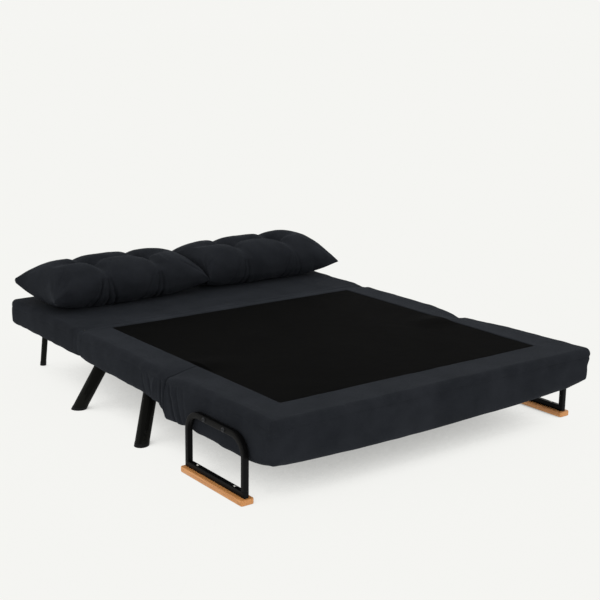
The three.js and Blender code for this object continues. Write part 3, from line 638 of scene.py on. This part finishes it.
def swell_pad(obj, low, high):
    """The cover's sides swell between its seams, and hang in loose gathers next to the fold hinge."""
    x, y, z = coords(obj).T
    from_top, from_under = high[2] - z, z - low[2]
    reach = np.minimum.reduce((HALF_WIDTH - np.abs(x), y - low[1], high[1] - y))
    held = np.maximum(smoothstep(reach, 0.03, 0.05), bump(from_top, WELT_DROP, 0.0025))
    held = np.maximum(held, 1 - smoothstep(from_joints(y), 0.002, 0.01))
    held = np.maximum(held, 1 - smoothstep(from_under, 0.004, 0.016))
    gathers = bump(y, FOLD_Y - 0.01, 0.07) * smoothstep(from_top, WELT_DROP, 2 * WELT_DROP)
    slack = np.round(0.18 + 0.82 * gathers, 2)
    swell(obj, np.round(held, 2), slack, pressure=2.0, frames=14, cap=0.008, stiffness=15.0)


def section(name, y_range, under_z, rolls, body, nodes, panel=None):
    """The padded cover of one section of the bed, from its shell to its swollen, creased cloth."""
    low = np.array((-HALF_WIDTH, y_range[0], under_z))
    high = np.array((HALF_WIDTH, y_range[1], TOP_Z))
    seam_z = TOP_Z - WELT_DROP
    marks = ((), ())
    if panel:
        marks = ((panel[0], panel[1]), [y for y in panel[2:] if low[1] < y < high[1]])
    rings_at = [round(seam_z + k, 4) for k in (-0.006, -0.003, 0, 0.003, 0.006)]
    fine = np.arange(-0.44, -0.14, 0.0045)
    obj = pad(name, low, high, rolls, COVER, marks, rings_at, fine)
    points = soften(coords(obj), normals(obj), low, high, panel, seam_z)
    set_coords(obj, drape(points, low, high))
    swell_pad(obj, low, high)
    crease_sides(obj)
    subdivide(obj)
    points = coords(obj)
    points[:, 2] = np.minimum(points[:, 2], TOP_Z + COVER_PROUD)
    set_coords(obj, points)
    # The backrest takes the darker copy of the cloth, with painted shade in its colour.
    if body == "backrest":
        obj.data.materials[0] = BACK_COVER_PAINTED_SHADE
    if body != "front":
        line_underside(obj, low[2])
    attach(obj, body)
    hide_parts(*nodes)
    return obj


def line_underside(obj, under_z):
    """Gives the flat underside, 20 mm in from its edge, the black lining instead of the cover cloth."""
    obj.data.materials.append(LINING)
    centres = vectors(obj.data.polygons, "center")
    flat = (centres[:, 2] < under_z + 0.004) & (np.abs(centres[:, 0]) < HALF_WIDTH - 0.04)
    obj.data.polygons.foreach_set("material_index", flat.astype(np.int32))


def build_covers():
    backrest = section("backrest_cover", (RECLINE_Y + RECLINE_GAP, HEAD_Y), BASE_UNDER_Z,
                       (0.017, 0.016, 0.017), "backrest", ["back_cover", "back_foam"])
    base = section("base_cover_padded", (FOLD_Y + FOLD_GAP, RECLINE_Y - RECLINE_GAP), BASE_UNDER_Z,
                   (0.018, 0.0008, 0.016), "base", ["base_cover", "base_foam"],
                   panel=(-PANEL_X, PANEL_X, -1.0, PANEL_Y[1]))
    section("front_cover_padded", (FOOT_Y, FOLD_Y - FOLD_GAP), FRONT_UNDER_Z,
            (0.018, 0.023, 0.0008), "front",
            ["front_cover", "front_foam_bed_side", "front_foam_seat_side"],
            panel=(-PANEL_X, PANEL_X, PANEL_Y[0], 1.0))
    build_recline_gusset(base, backrest)


def build_recline_gusset(base, backrest):
    """A strip of cover cloth over the groove between the base and the backrest, down both sides."""
    roll, hem_z, proud, half, groove, thickness = 0.02, 0.206, 0.0005, HALF_WIDTH, 0.021, 0.0006
    outside = 0.05  # how far out each ray that looks for the covers starts
    quarter = np.linspace(0, math.pi / 2, 7)
    left = [(-half, z) for z in np.linspace(hem_z, TOP_Z - roll, 8)[:-1]]
    left += [(-half + roll * (1 - math.cos(a)), TOP_Z - roll + roll * math.sin(a)) for a in quarter]
    across = [(x, TOP_Z) for x in np.linspace(-half + roll, half - roll, 100)[1:-1]]
    line = np.array(left + across + [(-x, z) for x, z in reversed(left)])
    tangent = np.gradient(line, axis=0)
    out = np.column_stack([-tangent[:, 1], tangent[:, 0]])
    out /= np.linalg.norm(out, axis=1)[:, None]
    beyond = (0.0225, 0.027, 0.031)
    across_y = np.array([*(-y for y in reversed(beyond)), *np.linspace(-0.018, 0.018, 11), *beyond])
    trees = [BVHTree.FromPolygons(coords(o).tolist(), [list(f.vertices) for f in o.data.polygons])
             for o in (base, backrest)]

    def height(x, z, ox, oz, dy):
        """How far the cover stands out from the line's point here."""
        start = Vector((x + outside * ox, RECLINE_Y + dy, z + outside * oz))
        hits = [tree.ray_cast(start, Vector((-ox, 0, -oz)), 0.09)[3] for tree in trees]
        near = [hit for hit in hits if hit is not None]
        return outside - min(near) if near else 0.0

    rows = []
    for (x, z), (ox, oz) in zip(line, out):
        known = [dy for dy in across_y if abs(dy) > groove]
        lift = np.interp(across_y, known, [height(x, z, ox, oz, dy) for dy in known])
        lift += proud - 0.002 * bump(across_y, 0.002, 0.012) - 0.0006 * (np.abs(across_y) > 0.03)
        place = np.column_stack([np.full(len(lift), x), across_y, np.full(len(lift), z)])
        lift += 0.0004 * noise(place, 0.02) * bump(across_y, 0, 0.014)
        rows.append(np.column_stack([x + ox * lift, RECLINE_Y + across_y, z + oz * lift]))
    outer = np.array(rows)
    inwards = np.insert(-out, 1, 0, axis=1) * thickness
    strip = shell_between("recline_gusset", outer, outer + inwards[:, None], COVER)
    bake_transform(strip)


def shell_between(name, outer, inner, material):
    """A closed thin shell from two grids of points with the same rows and columns."""
    rows, columns = outer.shape[:2]
    shift = rows * columns
    faces = grid_faces(rows, columns) + grid_faces(rows, columns, shift, flip=True)
    edge = edge_of_grid(rows, columns)
    for a, b in zip(edge, np.roll(edge, -1)):
        faces.append((b, a, a + shift, b + shift))
    verts = np.concatenate([outer.reshape(-1, 3), inner.reshape(-1, 3)])
    obj = closed_object(name, verts, faces, material)
    obj.data.set_sharp_from_angle(angle=math.radians(50))
    return obj


def build_lining():
    """The black lining, in one length over the base and the front section, raised over the hinges."""
    inset, thickness, rise = 0.0012, 0.0014, 0.0086
    eye_half, eye_edge, ease_in, ease_along = 0.0142, 0.0236, 0.19, 0.13
    xs = spaced(-PANEL_X + inset, PANEL_X - inset, 0.01, (-HINGE_X - 0.018, HINGE_X + 0.018), 0.003)
    at_fold = (FOLD_Y - 0.012, FOLD_Y, FOLD_Y + 0.012)
    ys = spaced(PANEL_Y[0] + inset, PANEL_Y[1] - inset, 0.01, at_fold, 0.003)
    gx, gy = np.meshgrid(xs, ys, indexing="ij")
    points = np.stack([gx, gy, np.zeros_like(gx)], -1).reshape(-1, 3)
    x, y, _ = points.T
    height = TOP_Z - PANEL_SINK + 0.0026 + 0.0004 * noise(points, 0.11) + 0.0003 * noise(points, 0.03)
    from_hinge, from_fold = np.abs(np.abs(x) - HINGE_X), np.abs(y - FOLD_Y)
    across = smoothstep(from_hinge, eye_half, np.where(np.abs(x) > HINGE_X, eye_edge, ease_in))
    height += rise * (1 - across) ** 1.5 * (1 - smoothstep(from_fold, 0.003, ease_along)) ** 1.5
    points[:, 2] = height
    upper = points.reshape(len(xs), len(ys), 3)
    lining = shell_between("lining_panel", upper, upper - (0, 0, thickness), LINING)
    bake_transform(lining)
    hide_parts("base_lining", "front_lining")


# -------------------- pillows

PILLOW_SIZE = (0.77, 0.39, 0.19)
PILLOW_END = -0.7145  # just inside the skids, which stand beside the seat when the front is folded
PRESS_REACH = 0.024  # how near to the plane between the pillows their sides start to flatten
TUFT_X = 0.128


def pillow_seam(u, v):
    """Height of the sewn edge over the mattress: its corners are lifted, most at the back."""
    corner = 0.069 + 0.014 * v
    return corner * (0.76 + 0.24 * (u * v) ** 2)


def from_tufts(x, y):
    """The distance from the nearer of a pillow's two tufts."""
    return np.minimum(np.hypot(x - TUFT_X, y), np.hypot(x + TUFT_X, y))


def pillow_shape(u, v, layer):
    """A pillow of two sewn halves, tufted at a third and two thirds of its length into six puffs.

    u and v run from -1 to 1 along and across it; layer is 1 for the upper half and -1 for the lower."""
    width, depth, height = PILLOW_SIZE
    x = width / 2 * u * (1 - 0.07 * (1 - v**2) * u**4)
    y = depth / 2 * v * (1 - 0.07 * (1 - u**4) * v**4)
    swelling = (1 - u**4) ** 0.46 * (1 - v**2) ** 0.46
    seam = pillow_seam(u, v)
    if layer < 0:
        return x, y, np.maximum(seam * (1 - 1.25 * swelling**1.5), 0)
    lean = x + 0.012 * np.sin(9 * y)
    tuft = from_tufts(x, y)
    across = np.maximum(bump(lean, TUFT_X, 0.026), bump(lean, -TUFT_X, 0.026))
    across *= smoothstep(v**2, 0.95, 0.1)
    middle = bump(y + 0.01 * np.sin(14 * x), 0, 0.03) * (1 - smoothstep(np.abs(x), 0.19, 0.31))
    dips = 0.15 * across + 0.16 * middle + 0.3 * bump(tuft, 0, 0.024) + 0.16 * bump(tuft, 0, 0.06)
    return x, y, seam + (height - seam) * swelling * (1 - np.minimum(dips, 0.72))


def pillow_shell(name, seed):
    columns, rows = 120, 60
    verts, index = [], {}
    for layer in (1, -1):
        for i, j in np.ndindex(columns, rows):
            if layer < 0 and (i in (0, columns - 1) or j in (0, rows - 1)):
                index[layer, i, j] = index[1, i, j]
                continue
            u, v = (math.sin(math.pi / 2 * (2 * k / (n - 1) - 1) * 0.8) / math.sin(math.pi / 2 * 0.8)
                    for k, n in ((i, columns), (j, rows)))
            index[layer, i, j] = len(verts)
            verts.append(pillow_shape(np.float64(u), np.float64(v), layer))
    faces = []
    for layer in (1, -1):
        for i, j in np.ndindex(columns - 1, rows - 1):
            quad = [index[layer, a, b] for a, b in ((i, j), (i + 1, j), (i + 1, j + 1), (i, j + 1))]
            faces.append(quad if layer > 0 else quad[::-1])
    verts = np.array(verts)
    verts += 0.0018 * np.column_stack([noise(verts + seed + k, 0.05) for k in (0, 1, 2)])
    return new_object(name, verts, faces, PILLOW)


# Creases from each tuft to the front and back seams: offset at the tuft and at the seam, depth, width.
PULLS = (
    (-0.01, -0.046, 0.013, 0.0085), (-0.004, -0.014, 0.021, 0.008), (0.003, 0.012, 0.016, 0.007),
    (0.008, 0.04, 0.019, 0.0085), (0.012, 0.072, 0.01, 0.0085),
)


def pull_creases(points, place, pulls):
    """The creases that run down the front and back faces under each tuft, no two the same."""
    x, y, z = points.T
    down = np.clip((0.15 - z) / 0.115, 0, 1.2)
    steep = smoothstep(np.abs(y), 0.1, 0.155)
    wander = 0.006 * noise(place * (1, 1, 0.7), 0.045)
    total = np.zeros(len(points))
    for tuft, strength in zip((-TUFT_X, TUFT_X), pulls):
        for face in (-1, 1):
            facing = steep * (y * face > 0)
            for k, (near, far, depth, width) in enumerate(PULLS):
                phase = 2.1 * k + 1.7 * tuft / TUFT_X + 0.8 * face + place[0, 0] * 40
                share = 0.55 + 0.45 * math.sin(phase)
                line = tuft + face * (near + (far - near) * down) + wander
                fold = strength * share * depth * crease(x, line, width)
                total += fold * facing * smoothstep(down, 0.0, 0.35)
    return total


def corner_creases(points):
    """Short folds that run in from each pointed corner."""
    x, y, _ = points.T
    total = np.zeros(len(points))
    for sx, sy in QUARTERS:
        dx, dy = PILLOW_SIZE[0] / 2 - sx * x, PILLOW_SIZE[1] / 2 - sy * y
        distance = np.hypot(dx, dy)
        angle = np.arctan2(dy, np.maximum(dx, 1e-6))
        for middle, depth in ((0.45, 0.0032), (0.8, 0.0042), (1.12, 0.0026)):
            fold = depth * bump(angle * distance, middle * distance, 0.0065)
            total += fold * bump(distance, 0.085, 0.05)
    return total


def rumple(obj, seed, pulls):
    """Small creases: fans round the tufts, gathers along the seam, and soft unevenness."""
    points, out = coords(obj), normals(obj)
    x, y, z = points.T
    place = points + seed
    fan = np.zeros(len(points))
    for sign in (-1, 1):
        dx = x - sign * TUFT_X
        distance, angle = np.hypot(dx, y), np.arctan2(y, dx)
        rays = np.sin(angle * 7 + 3.0 * noise(place, 0.05) + sign)
        fan += bump(distance, 0.022, 0.045) * smoothstep(distance, 0.004, 0.02) * rays
    shift = 0.0026 * fan * (z > 0.07) - pull_creases(points, place, pulls) - corner_creases(points)
    shift -= 0.0018 * np.abs(noise(place * (1, 0.45, 0.6), 0.04)) ** 0.7
    shift += 0.0026 * noise(place, 0.09)
    points += out * shift[:, None]
    points[:, 2] = np.maximum(z, 0)
    set_coords(obj, points)


def press_apart(points, side):
    """The two pillows press against each other: neither crosses the slanting plane between them."""
    x, y, _ = points.T
    middle = 0.018 - 0.12 * (y - 0.77)
    room = (x - middle) * side
    soft = 0.0012 + 0.0228 * np.exp(np.minimum(room - PRESS_REACH, 0) / PRESS_REACH)
    x[:] = np.maximum(middle + side * np.where(room < PRESS_REACH, soft, room), PILLOW_END)
    return points


def build_pillow(side, place, turn, tall, seed, pulls):
    """A pillow: its sewn shell, swollen, creased, turned on the bed and pressed against the other."""
    obj = pillow_shell(f"pillow_{side}_tufted", seed)
    x, y, z = coords(obj).T
    tuft = from_tufts(x, y)
    resting = (z < 0.004) | ((z < 0.05) & (tuft < 0.02))
    held = np.where((tuft < 0.011) | resting, 1.0, 0.0)
    slack = np.full(len(held), 0.4)
    swell(obj, held, slack, pressure=2.5, frames=18, cap=0.014, stiffness=18.0)
    subdivide(obj)
    rumple(obj, seed, pulls)
    placed = Matrix.Translation(Vector(place)) @ Matrix.Rotation(math.radians(turn), 4, "Z")
    obj.data.transform(placed @ Matrix.Diagonal((1, 1, tall, 1)))
    points = press_apart(coords(obj), dict(SIDES)[side])
    if side == "right":
        x, y, z = points.T
        crown = bump(x, 0.59, 0.12) * bump(y, 0.86, 0.15)
        z += 0.01 * crown * smoothstep(z, 0.38, 0.45)
    set_coords(obj, points)
    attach(obj, f"pillow_{side}")
    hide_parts(f"pillow_{side}")


def build_pillows():
    rest_z = TOP_Z + 0.0016
    build_pillow("left", (-0.34, 0.762, rest_z), turn=1.6, tall=1.0, seed=0.0, pulls=(1.0, 0.85))
    build_pillow("right", (0.378, 0.78, rest_z), turn=-0.9, tall=1.01, seed=3.7, pulls=(0.62, 0.3))


# -------------------- arm loops, skids and screws

ARM_X, ARM_Y, ARM_LENGTH, ARM_TOP = 0.741, -0.66, 0.35, 0.2255
ARM_TUBE, ARM_BEND, ARM_BOLT_Y, SKID_SCREW_Y = 0.02, 0.075, 0.0575, 0.11
SKID_TOP = 0.02


def finish_hard(name, verts, faces, material, sign, body, slot, *nodes):
    """A hard piece, mirrored to its side, smooth but for its sharp edges."""
    verts = np.array(verts, float)
    verts[:, 0] *= sign
    obj = closed_object(name, verts, faces, material)
    obj.data.set_sharp_from_angle(angle=math.radians(35))
    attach(obj, body)
    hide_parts(*nodes)


def rounded_outline(centre, reach_x, reach_y, radius, steps):
    """Points round a rectangle with round corners, whose middles are reach away from its centre."""
    points = []
    for quarter, (sx, sy) in enumerate(QUARTERS):
        for a in np.linspace(quarter, quarter + 1, steps + 1) * math.pi / 2:
            points.append((centre[0] + sx * reach_x + radius * math.cos(a),
                           centre[1] + sy * reach_y + radius * math.sin(a)))
    return points


def merge_parts(*parts):
    verts, faces = [], []
    for more, fresh in parts:
        faces += [tuple(len(verts) + i for i in face) for face in fresh]
        verts += list(more)
    return verts, faces


def turned(profile, segments, place, axis="z", socket=0):
    """A solid turned from (radius, height) rows along z or x; the first socket rows are six-sided."""
    verts, sixth = [], math.pi / 3
    for row, (radius, height) in enumerate(profile):
        for k in range(segments):
            a = 2 * math.pi * k / segments
            r = radius
            if row < socket:
                r = radius / math.cos(a % sixth - sixth / 2) * math.cos(sixth / 2)
            verts.append((r * math.cos(a), r * math.sin(a), height))
    if axis == "x":
        verts = [(z, x, y) for x, y, z in verts]
    return [tuple(np.add(v, place)) for v in verts], capped_faces(len(profile), segments)


def loop_tube():
    """The square tube of an arm loop, bent at its top corners and mitred at its bottom ones."""
    inset, edge = ARM_TUBE / 2, 0.0032
    y0, y1 = ARM_Y - ARM_LENGTH / 2 + inset, ARM_Y + ARM_LENGTH / 2 - inset
    z0, z1 = SKID_TOP + 0.0003 + inset, ARM_TOP - inset
    bend = ARM_BEND - inset
    path = [(y0, z0), (y1, z0)]
    for centre_y, first in ((y1 - bend, 0), (y0 + bend, 1)):
        for a in np.linspace(first, first + 1, 15) * math.pi / 2:
            path.append((centre_y + bend * math.cos(a), z1 - bend + bend * math.sin(a)))
    path = np.array(path)
    ahead = np.roll(path, -1, 0) - path
    ahead /= np.linalg.norm(ahead, axis=1)[:, None]
    behind = np.roll(ahead, 1, 0)
    out = np.stack([ahead[:, 1] + behind[:, 1], -ahead[:, 0] - behind[:, 0]], 1)
    out /= (1 + (ahead * behind).sum(1))[:, None]
    profile = rounded_outline((0, 0), inset - edge, inset - edge, edge, 4)
    verts = [(ARM_X + px, y + oy * py, z + oz * py)
             for (y, z), (oy, oz) in zip(path, out) for px, py in profile]
    return verts, grid_faces(len(path), len(profile), wrap=True, ring=True)


def weld(y, z):
    """A bead of weld round the lower joint of the loop."""
    count, verts = 40, []
    half = ARM_TUBE / 2 + 0.0002
    for k in range(count):
        a = 2 * math.pi * k / count
        reach = half / max(abs(math.cos(a)), abs(math.sin(a)))
        px, py = min(reach, half * 1.17) * math.cos(a), min(reach, half * 1.17) * math.sin(a)
        lump = 0.001 + 0.0002 * math.sin(11 * a)
        for b in np.linspace(0, 2 * math.pi, 8, endpoint=False):
            grow = 1 + lump * math.cos(b) / half
            verts.append((ARM_X + px * grow, y + py * grow, z + lump * math.sin(b)))
    return verts, grid_faces(count, 8, wrap=True, ring=True)


def skid_block():
    """The wooden skid: round corners in plan and eased edges."""
    half_x, half_y, roll, corner = 0.025, 0.183, 0.0032, 0.008
    rings = []
    for a in np.linspace(0, math.pi / 2, 5):
        rings.append((roll * (1 - math.sin(a)), roll * (1 - math.cos(a))))
    levels, verts = rings + [(inset, SKID_TOP - z) for inset, z in reversed(rings)], []
    for inset, z in levels:
        outline = rounded_outline((ARM_X, ARM_Y), half_x - corner, half_y - corner, corner - inset, 6)
        verts += [(x, y, z) for x, y in outline]
    return verts, capped_faces(len(levels), len(outline))


# Half a fold pin, from its middle outwards.
FOLD_PIN = ((0.0018, 0.0137), (0.003, 0.0138), (0.003, 0.0146), (0.0024, 0.0152))


def build_fold_pins():
    """The rivets of the fold joint, with small heads so that the lining lies smooth over them."""
    profile = [(radius, -height) for radius, height in reversed(FOLD_PIN)] + list(FOLD_PIN)
    for side, sign in SIDES:
        pin = turned(profile, 24, (HINGE_X, FOLD_Y, FOLD_Z), "x")
        node = f"fold_hinge_pin_{side}"
        finish_hard(f"fold_rivet_{side}", *pin, HINGE, sign, "base", "hinge", node)


# Turned heads, as radius and height from the bottom of the socket, over the rim, to the shank.
BOLT_HEAD = (
    (0.003, 0.002), (0.0031, 0.0042), (0.004, 0.0046), (0.0056, 0.0041), (0.007, 0.003),
    (0.0079, 0.0012), (0.008, 0.0002), (0.0039, 0.0002), (0.0039, -0.01),
)
SCREW_HEAD = (
    (0.0016, 0.0012), (0.0017, 0.0027), (0.0026, 0.0029), (0.0038, 0.0023), (0.0047, 0.0009),
    (0.0048, 0.0002), (0.0021, 0.0002), (0.0021, -0.01),
)
SPACER = ((0.0078, 0), (0.009, 0.001), (0.009, 0.011))


def build_arms():
    """The loops with their spacers, bolts and weld beads, and the wooden skids with their screws."""
    bar_top = SKID_TOP + 0.0003 + ARM_TUBE
    outside = ARM_X + ARM_TUBE / 2
    bolt_z = ARM_TOP - ARM_TUBE / 2
    low_corners = [ARM_Y + k * (ARM_LENGTH / 2 - ARM_TUBE / 2) for k in (-1, 1)]
    for side, sign in SIDES:
        spacers = [turned(SPACER, 32, (HALF_WIDTH + 0.0006, ARM_Y + k * ARM_BOLT_Y, bolt_z), "x")
                   for k in (-1, 1)]
        beads = [weld(y, bar_top + 0.0002) for y in low_corners]
        loop = merge_parts(loop_tube(), *spacers, *beads)
        tube, skid = f"arm_loop_{side}", f"wood_skid_{side}"
        finish_hard(f"arm_tube_{side}", *loop, FRAME_PAINT, sign, "front", "frame", tube)
        finish_hard(f"skid_{side}", *skid_block(), OAK, sign, "front", "wood", skid)
        for letter, k in (("a", -1), ("b", 1)):
            end = f"{letter}_{side}"
            bolt = turned(BOLT_HEAD, 48, (outside, ARM_Y + k * ARM_BOLT_Y, bolt_z), "x", socket=2)
            node = f"arm_bolt_{end}"
            finish_hard(f"socket_bolt_{end}", *bolt, BOLT, sign, "front", "bolt", node)
            screw = turned(SCREW_HEAD, 48, (ARM_X, ARM_Y + k * SKID_SCREW_Y, bar_top), socket=2)
            node = f"skid_screw_{end}"
            finish_hard(f"skid_fixing_{end}", *screw, SCREW, sign, "front", "screw", node)


# -------------------- carried-over metal and wood

NODE_MATERIALS = (
    (("frame", "arm_loop"), FRAME_PAINT),
    (("support_frame", "leg_"), LEG_PAINT),
    (("cap",), CAP),
    (("webbing",), WEBBING),
    (("foam",), FOAM),
    (("ratchet_", "fold_hinge"), HINGE),
    (("bolt",), BOLT),
    (("spring",), SPRING),
    (("screw",), SCREW),
    (("skid",), OAK),
    (("skid_screw",), SCREW),
    (("lining",), LINING),
)


def finish_nodes():
    """Gives every CAD node the material of the last line above that names it."""
    for name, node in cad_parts.items():
        chosen = COVER
        for words, material in NODE_MATERIALS:
            if any(word in name for word in words):
                chosen = material
        node.data.materials.clear()
        node.data.materials.append(chosen)
        node.data.shade_smooth()
        node.data.set_sharp_from_angle(angle=math.radians(32))


# -------------------- room, light and camera

CAMERA = {"place": (-2.6986, -3.6887, 1.4946), "yaw": 37.08, "down": 13.54, "roll": 0.78, "lens": 71.06}


def build_camera():
    yaw, down, roll = (math.radians(CAMERA[key]) for key in ("yaw", "down", "roll"))
    data = bpy.data.cameras.new("camera")
    data.lens = CAMERA["lens"]
    data.clip_end = 200
    camera = add_to_scene("camera", data)
    level = Matrix.Rotation(-yaw, 4, "Z") @ Matrix.Rotation(math.pi / 2 - down, 4, "X")
    camera.matrix_world = Matrix.Translation(CAMERA["place"]) @ level @ Matrix.Rotation(roll, 4, "Z")
    bpy.context.scene.camera = camera


def sun(name, towards, strength, spread):
    data = bpy.data.lights.new(name, "SUN")
    data.energy = strength
    data.angle = math.radians(spread)
    add_to_scene(name, data).rotation_euler = Vector(towards).to_track_quat("-Z", "Y").to_euler()


DOME = (0.914, 0.914, 0.889)
# How the floor's glow falls into a painted shadow with the share of open sky above it, fitted to the
# photograph's shadow.
SHADOW_REACH, SHADOW_SCALE, SHADOW_POWER, SHADOW_DEPTH = 0.8, 5.4, 1.8, 0.64


def build_room():
    """A seamless pale studio: a glowing floor that runs out to the horizon, with a painted shadow round
    the bed, under an even pale dome.
    """
    n = Nodes("pale_floor")
    # Painted shadow: ambient occlusion dims the floor's glow under and round the bed, and the glowing
    # floor lights the bed from below though it is no lamp.
    open_sky = n.add("ShaderNodeAmbientOcclusion", {"Distance": SHADOW_REACH}, samples=16).outputs["AO"]
    lit = n.math("POWER", n.times(open_sky, SHADOW_SCALE), SHADOW_POWER)
    shade = n.math("EXPONENT", n.times(lit, -1.0))
    glow_under_painted_shadow = n.line(shade, -SHADOW_DEPTH, 1.0)
    n.link(n.times(glow_under_painted_shadow, 0.965), n.shader.inputs["Emission Strength"])
    floor_material = n.finish((0.03, 0.03, 0.029), 1.0, None, Specular_IOR_Level=0.0,
                              Emission_Color=(*DOME, 1))
    corners = [(80 * x, 80 * y, 0) for x, y in ((-1, -1), (1, -1), (1, 1), (-1, 1))]
    floor = new_object("floor", corners, [(0, 1, 2, 3)], floor_material, smooth=False)
    world = bpy.data.worlds.new("studio")
    world.use_nodes = True
    world.node_tree.nodes["Background"].inputs["Color"].default_value = (*DOME, 1)
    bpy.context.scene.world = world
    sun("key", (0.45, 0.25, -1.0), 0.2, 60)
    sun("fill", (-0.2, 1.0, -0.55), 0.38, 60)
    bpy.context.scene.view_settings.view_transform = "Standard"


build_camera()
build_room()
finish_nodes()
build_covers()
build_lining()
build_pillows()
build_arms()
build_fold_pins()
